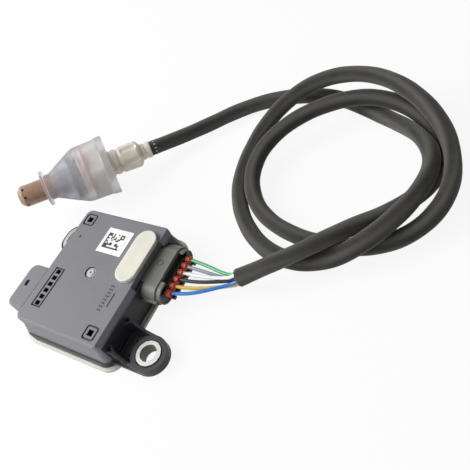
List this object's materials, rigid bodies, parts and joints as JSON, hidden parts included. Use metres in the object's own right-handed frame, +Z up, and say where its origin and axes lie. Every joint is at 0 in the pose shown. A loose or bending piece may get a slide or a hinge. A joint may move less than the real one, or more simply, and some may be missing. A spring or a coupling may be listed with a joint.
{
  "type": "nitrogen oxide sensor",
  "caption": "Exhaust-gas sensor for nitrogen oxides: flat control module with mounting ears, plugged-in lead in a braided sleeve, and a threaded probe under a translucent transport cap.",
  "frame": {"origin": "middle of the underside of the control module's base plate", "axes": "+Z up out of the module's cover, +X towards the plug, +Y along the module's long side"},
  "size_m": [0.1871, 0.1589, 0.0294],
  "materials": {
    "board_laminate": "solder mask",
    "bush_steel": "sintered, satin",
    "can_aluminium": "satin",
    "cap_plastic": "translucent, waxy",
    "carrier_plastic": "moulded",
    "chip_plastic": "moulded",
    "cover_plastic": "moulded, fine grain",
    "cream_plastic": "smooth",
    "dark_rubber": "matt",
    "element_ceramic": "matt",
    "ferrule_metal": "crimped",
    "gasket_metal": "pressed",
    "holder_plastic": "moulded",
    "housing_plastic": "moulded, fine grain",
    "label_paper": "satin",
    "pin_metal": "tinned",
    "plate_metal": "satin",
    "plug_plastic": "moulded",
    "probe_steel": "turned",
    "seal_rubber": "smooth",
    "sleeve_braid": "braided",
    "tube_metal": "heat-tinted",
    "wire_black": "insulation",
    "wire_blue": "insulation",
    "wire_green": "insulation",
    "wire_grey": "insulation",
    "wire_white": "insulation",
    "wire_yellow": "insulation"
  },
  "bodies": {
    "root": {"base_plate": "plate_metal", "board_capacitor": "can_aluminium", "board_processor": "chip_plastic", "board_regulator": "chip_plastic", "bush_round": "bush_steel", "bush_slot": "bush_steel", "cable_sleeve": "sleeve_braid", "circuit_board": "board_laminate", "cover": "cover_plastic", "cover_seal": "dark_rubber", "element_bush": "element_ceramic", "gasket_ring": "gasket_metal", "housing": "housing_plastic", "label": "label_paper", "pin_carrier": "carrier_plastic", "plug_holder": "holder_plastic", "plug_lock": "holder_plastic", "plug_seal": "dark_rubber", "plug_shell": "plug_plastic", "probe_barrel": "probe_steel", "probe_body": "probe_steel", "probe_collar": "probe_steel", "probe_ferrule": "ferrule_metal", "protective_cap": "cap_plastic", "sensing_element": "element_ceramic", "socket_cap": "cream_plastic", "socket_pin_1": "pin_metal", "socket_pin_2": "pin_metal", "socket_pin_3": "pin_metal", "socket_pin_4": "pin_metal", "socket_pin_5": "pin_metal", "socket_pin_6": "pin_metal", "terminal_1": "pin_metal", "terminal_2": "pin_metal", "terminal_3": "pin_metal", "terminal_4": "pin_metal", "terminal_5": "pin_metal", "terminal_6": "pin_metal", "tube_inner": "tube_metal", "tube_outer": "tube_metal", "vehicle_pin_1": "pin_metal", "vehicle_pin_2": "pin_metal", "vehicle_pin_3": "pin_metal", "vehicle_pin_4": "pin_metal", "vehicle_pin_5": "pin_metal", "vehicle_pin_6": "pin_metal", "wire_black": "wire_black", "wire_blue": "wire_blue", "wire_green": "wire_green", "wire_grey": "wire_grey", "wire_seal_1": "seal_rubber", "wire_seal_2": "seal_rubber", "wire_seal_3": "seal_rubber", "wire_seal_4": "seal_rubber", "wire_seal_5": "seal_rubber", "wire_seal_6": "seal_rubber", "wire_white": "wire_white", "wire_yellow": "wire_yellow"}
  },
  "joints": []
}
